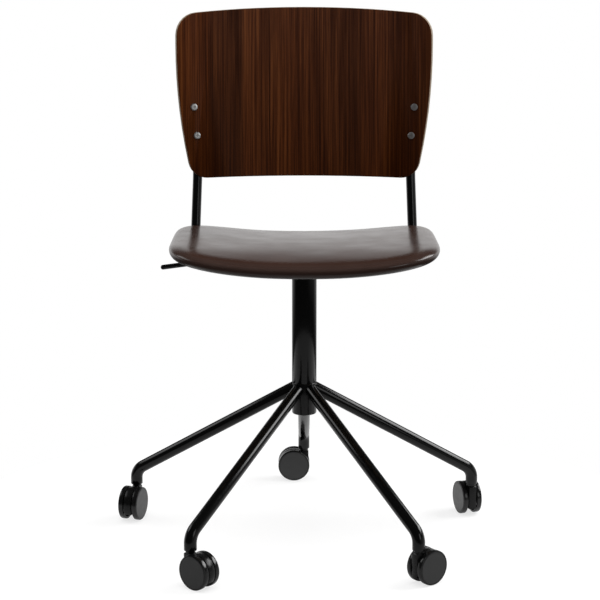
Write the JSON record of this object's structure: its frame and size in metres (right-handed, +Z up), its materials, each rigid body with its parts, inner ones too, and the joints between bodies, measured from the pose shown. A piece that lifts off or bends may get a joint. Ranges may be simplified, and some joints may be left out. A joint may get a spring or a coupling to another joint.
{
  "type": "swivel chair",
  "caption": "Height-adjustable swivel chair with a moulded plywood back, a thin dished leather seat, a gas-lift column, tubular steel legs and twin-wheel casters",
  "frame": {"origin": "on the floor, under the middle of the footprint's bounding box; the seat's swivel axis stands at x 0.0056, y -0.0158", "axes": "+Z up; the sitter faces -Y; +X is to the right of someone who looks at the chair from in front, along +Y"},
  "size_m": [0.6186, 0.6008, 0.849],
  "materials": {
    "black_paint": "satin black powder coat",
    "steel": "plain bright steel",
    "black_plastic": "moulded black",
    "wheel_plastic": "moulded black, glossy rims",
    "rubber": "matt black",
    "walnut": "satin lacquered dark walnut veneer, upright grain",
    "plywood": "plain moulded plywood",
    "leather": "smooth brown leather with a soft sheen"
  },
  "bodies": {
    "base": {"hub": "black_paint", "leg_rear": "black_paint", "leg_mid_left": "black_paint", "leg_mid_right": "black_paint", "leg_front_left": "black_paint", "leg_front_right": "black_paint", "column_tube": "black_paint", "guide_bush": "black_plastic", "thrust_bearing": "steel", "caster_stem_rear": "black_paint", "caster_stem_mid_left": "black_paint", "caster_stem_mid_right": "black_paint", "caster_stem_front_left": "black_paint", "caster_stem_front_right": "black_paint"},
    "rod": {"piston_rod": "steel", "rubber_buffer": "rubber", "rod_washer": "steel", "retaining_clip": "steel"},
    "seat": {"gas_cylinder": "black_paint", "rod_guide": "black_plastic", "mechanism_housing": "black_paint", "cylinder_socket": "steel", "lever_pivot_pin": "steel", "front_rail": "black_paint", "rear_rail": "black_paint", "seat_screw_front_left": "steel", "seat_screw_front_right": "steel", "seat_screw_rear_left": "steel", "seat_screw_rear_right": "steel", "seat_shell": "plywood", "seat_pad": "leather", "back_board": "walnut", "back_post_left": "black_paint", "back_post_right": "black_paint", "back_screw_lower_left": "steel", "back_screw_upper_left": "steel", "back_screw_lower_right": "steel", "back_screw_upper_right": "steel"},
    "height_lever": {"lever": "black_paint"},
    "valve_pin": {"release_pin": "steel"},
    "caster_rear": {"caster_hood_rear": "black_plastic", "caster_axle_rear": "steel"},
    "caster_mid_left": {"caster_hood_mid_left": "black_plastic", "caster_axle_mid_left": "steel"},
    "caster_mid_right": {"caster_hood_mid_right": "black_plastic", "caster_axle_mid_right": "steel"},
    "caster_front_left": {"caster_hood_front_left": "black_plastic", "caster_axle_front_left": "steel"},
    "caster_front_right": {"caster_hood_front_right": "black_plastic", "caster_axle_front_right": "steel"},
    "wheel_rear_left": {"caster_wheel_rear_left": "wheel_plastic"},
    "wheel_rear_right": {"caster_wheel_rear_right": "wheel_plastic"},
    "wheel_mid_left_left": {"caster_wheel_mid_left_left": "wheel_plastic"},
    "wheel_mid_left_right": {"caster_wheel_mid_left_right": "wheel_plastic"},
    "wheel_mid_right_left": {"caster_wheel_mid_right_left": "wheel_plastic"},
    "wheel_mid_right_right": {"caster_wheel_mid_right_right": "wheel_plastic"},
    "wheel_front_left_left": {"caster_wheel_front_left_left": "wheel_plastic"},
    "wheel_front_left_right": {"caster_wheel_front_left_right": "wheel_plastic"},
    "wheel_front_right_left": {"caster_wheel_front_right_left": "wheel_plastic"},
    "wheel_front_right_right": {"caster_wheel_front_right_right": "wheel_plastic"}
  },
  "joints": [
    {"name": "seat_swivel", "type": "hinge", "parent": "base", "child": "rod", "pos_m": [0.0056, -0.0158, 0.2195], "axis": [0, 0, 1], "continuous": true},
    {"name": "seat_height", "type": "slide", "parent": "rod", "child": "seat", "axis": [0, 0, 1], "range_m": [0, 0.1]},
    {"name": "lever_lift", "type": "hinge", "parent": "seat", "child": "height_lever", "pos_m": [-0.0394, -0.0058, 0.45881], "axis": [0, 1, 0], "range_deg": [0, 2.6], "stiffness_Nm_per_rad": 1, "springref_deg": -5.73},
    {"name": "release_pin_press", "type": "slide", "parent": "seat", "child": "valve_pin", "axis": [0, 0, -1], "range_m": [0, 0.0021], "stiffness_N_per_m": 200, "springref_m": -0.002},
    {"name": "caster_swivel_rear", "type": "hinge", "parent": "base", "child": "caster_rear", "pos_m": [0.0056, 0.2842, 0.045], "axis": [0, 0, 1], "continuous": true},
    {"name": "caster_swivel_mid_left", "type": "hinge", "parent": "base", "child": "caster_mid_left", "pos_m": [-0.27972, 0.0769, 0.045], "axis": [0, 0, 1], "continuous": true},
    {"name": "caster_swivel_mid_right", "type": "hinge", "parent": "base", "child": "caster_mid_right", "pos_m": [0.29092, 0.0769, 0.045], "axis": [0, 0, 1], "continuous": true},
    {"name": "caster_swivel_front_left", "type": "hinge", "parent": "base", "child": "caster_front_left", "pos_m": [-0.17074, -0.25851, 0.045], "axis": [0, 0, 1], "continuous": true},
    {"name": "caster_swivel_front_right", "type": "hinge", "parent": "base", "child": "caster_front_right", "pos_m": [0.18194, -0.25851, 0.045], "axis": [0, 0, 1], "continuous": true},
    {"name": "wheel_spin_rear_left", "type": "hinge", "parent": "caster_rear", "child": "wheel_rear_left", "pos_m": [-0.0124, 0.2842, 0.028], "axis": [0, 1, 0], "continuous": true},
    {"name": "wheel_spin_rear_right", "type": "hinge", "parent": "caster_rear", "child": "wheel_rear_right", "pos_m": [-0.0124, 0.2842, 0.028], "axis": [0, 1, 0], "continuous": true},
    {"name": "wheel_spin_mid_left_left", "type": "hinge", "parent": "caster_mid_left", "child": "wheel_mid_left_left", "pos_m": [-0.27772, 0.05733, 0.028], "axis": [0.9511, -0.309, 0], "continuous": true},
    {"name": "wheel_spin_mid_left_right", "type": "hinge", "parent": "caster_mid_left", "child": "wheel_mid_left_right", "pos_m": [-0.29284, 0.06224, 0.028], "axis": [0.9511, -0.309, 0], "continuous": true},
    {"name": "wheel_spin_mid_right_left", "type": "hinge", "parent": "caster_mid_right", "child": "wheel_mid_right_left", "pos_m": [0.27805, 0.0918, 0.028], "axis": [0.9563, 0.2924, 0], "continuous": true},
    {"name": "wheel_spin_mid_right_right", "type": "hinge", "parent": "caster_mid_right", "child": "wheel_mid_right_right", "pos_m": [0.29326, 0.09644, 0.028], "axis": [0.9563, 0.2924, 0], "continuous": true},
    {"name": "wheel_spin_front_left_left", "type": "hinge", "parent": "caster_front_left", "child": "wheel_front_left_left", "pos_m": [-0.15183, -0.26399, 0.028], "axis": [0.6428, 0.766, 0], "continuous": true},
    {"name": "wheel_spin_front_left_right", "type": "hinge", "parent": "caster_front_left", "child": "wheel_front_left_right", "pos_m": [-0.16205, -0.27616, 0.028], "axis": [0.6428, 0.766, 0], "continuous": true},
    {"name": "wheel_spin_front_right_left", "type": "hinge", "parent": "caster_front_right", "child": "wheel_front_right_left", "pos_m": [0.19092, -0.241, 0.028], "axis": [0.6293, -0.7771, 0], "continuous": true},
    {"name": "wheel_spin_front_right_right", "type": "hinge", "parent": "caster_front_right", "child": "wheel_front_right_right", "pos_m": [0.20093, -0.25335, 0.028], "axis": [0.6293, -0.7771, 0], "continuous": true}
  ],
  "couplings": [
    {"joint": "release_pin_press", "follows": "lever_lift", "m_per_rad": 0.045}
  ]
}
